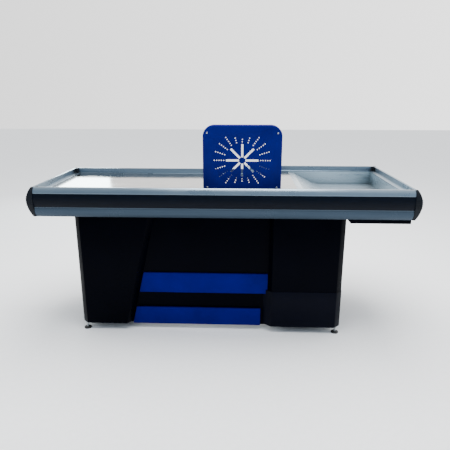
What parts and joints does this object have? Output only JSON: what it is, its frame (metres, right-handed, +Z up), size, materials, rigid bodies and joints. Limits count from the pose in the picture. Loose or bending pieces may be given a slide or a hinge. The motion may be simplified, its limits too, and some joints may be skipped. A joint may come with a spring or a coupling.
{
  "type": "checkout counter",
  "caption": "Shop checkout counter: two steel pedestals, aluminium and black bumper edge, stainless deck with sunken packing basin, blue vented screen, cash drawer and rear cabinet.",
  "frame": {"origin": "on the floor, under the centre of the overall box", "axes": "+X along the counter from the scanning end to the packing end, +Y from the customer to the cashier, +Z up"},
  "size_m": [2.066, 0.855, 1.18],
  "materials": {
    "anodised_aluminium": "satin clear anodised extrusion",
    "black_pvc": "smooth extruded PVC",
    "black_moulding": "moulded, ribbed",
    "deck_stainless": "bright rolled stainless sheet",
    "basin_stainless": "satin stainless sheet",
    "black_paint": "gloss powder coat",
    "kick_paint": "gloss powder coat",
    "blue_paint": "gloss powder coat",
    "screen_paint": "satin powder coat",
    "frame_paint": "primer painted welded tube",
    "zinc_steel": "bright zinc plated",
    "foot_rubber": "moulded",
    "tray_plastic": "fine grained ABS",
    "handle_metal": "satin nickel",
    "lock_chrome": "polished"
  },
  "bodies": {
    "counter": {"back_left_bumper": "black_pvc", "back_left_rail": "anodised_aluminium", "back_right_bumper": "black_pvc", "back_right_rail": "anodised_aluminium", "bagging_basin": "basin_stainless", "basin_under_tray": "black_paint", "cash_drawer_case": "black_paint", "centre_panel": "black_paint", "corner_cap_back_left": "black_moulding", "corner_cap_back_right": "black_moulding", "corner_cap_front_left": "black_moulding", "corner_cap_front_right": "black_moulding", "corner_cap_step": "black_moulding", "door_hinge_frame_leaves": "zinc_steel", "door_hinge_pins": "zinc_steel", "drawer_hangers": "zinc_steel", "drawer_slide_channels": "zinc_steel", "foot_lock_nuts": "zinc_steel", "foot_plates": "zinc_steel", "front_bumper": "black_pvc", "front_rail": "anodised_aluminium", "inner_corner_posts": "black_moulding", "left_end_bumper": "black_pvc", "left_end_rail": "anodised_aluminium", "left_leg_base": "black_paint", "left_leg_cover": "black_paint", "left_leg_inner_side": "black_paint", "lower_blue_band": "blue_paint", "right_end_bumper": "black_pvc", "right_end_rail": "anodised_aluminium", "right_kick_plate": "kick_paint", "right_leg_base": "black_paint", "right_leg_cover": "black_paint", "right_leg_inner_side": "black_paint", "right_leg_shelf": "black_paint", "screen_panel": "screen_paint", "screen_screws": "zinc_steel", "screen_stays": "black_paint", "steel_deck": "deck_stainless", "step_bumper": "black_pvc", "step_rail": "anodised_aluminium", "top_frame": "frame_paint", "upper_blue_band": "blue_paint"},
    "cash_drawer": {"cash_drawer_tray": "zinc_steel", "cash_drawer_front": "black_paint", "coin_tray": "tray_plastic", "drawer_slide_runners": "zinc_steel"},
    "drawer_lock": {"cash_drawer_lock": "lock_chrome"},
    "cabinet_door": {"cabinet_door": "black_paint", "door_hinge_door_leaves": "zinc_steel", "door_handle": "handle_metal"},
    "door_lock": {"door_lock": "lock_chrome"},
    "foot_front_left": {"foot_pad_front_left": "foot_rubber", "foot_stem_front_left": "zinc_steel"},
    "foot_front_right": {"foot_pad_front_right": "foot_rubber", "foot_stem_front_right": "zinc_steel"},
    "foot_back_left": {"foot_pad_back_left": "foot_rubber", "foot_stem_back_left": "zinc_steel"},
    "foot_back_right": {"foot_pad_back_right": "foot_rubber", "foot_stem_back_right": "zinc_steel"}
  },
  "joints": [
    {"name": "foot_front_left_height", "type": "slide", "parent": "counter", "child": "foot_front_left", "axis": [0, 0, -1], "range_m": [0, 0.02]},
    {"name": "foot_front_right_height", "type": "slide", "parent": "counter", "child": "foot_front_right", "axis": [0, 0, -1], "range_m": [0, 0.02]},
    {"name": "foot_back_left_height", "type": "slide", "parent": "counter", "child": "foot_back_left", "axis": [0, 0, -1], "range_m": [0, 0.02]},
    {"name": "foot_back_right_height", "type": "slide", "parent": "counter", "child": "foot_back_right", "axis": [0, 0, -1], "range_m": [0, 0.02]},
    {"name": "cash_drawer_slide", "type": "slide", "parent": "counter", "child": "cash_drawer", "axis": [0, 1, 0], "range_m": [0, 0.33]},
    {"name": "drawer_lock_turn", "type": "hinge", "parent": "cash_drawer", "child": "drawer_lock", "pos_m": [-0.11, 0.21, 0.664], "axis": [0, 1, 0], "range_deg": [0, 90]},
    {"name": "cabinet_door_hinge", "type": "hinge", "parent": "counter", "child": "cabinet_door", "pos_m": [0.6685, 0.3485, 0.35], "axis": [0, 0, -1], "range_deg": [0, 95]},
    {"name": "door_lock_turn", "type": "hinge", "parent": "cabinet_door", "child": "door_lock", "pos_m": [0.329, 0.3598, 0.42], "axis": [0, 1, 0], "range_deg": [0, 90]}
  ]
}
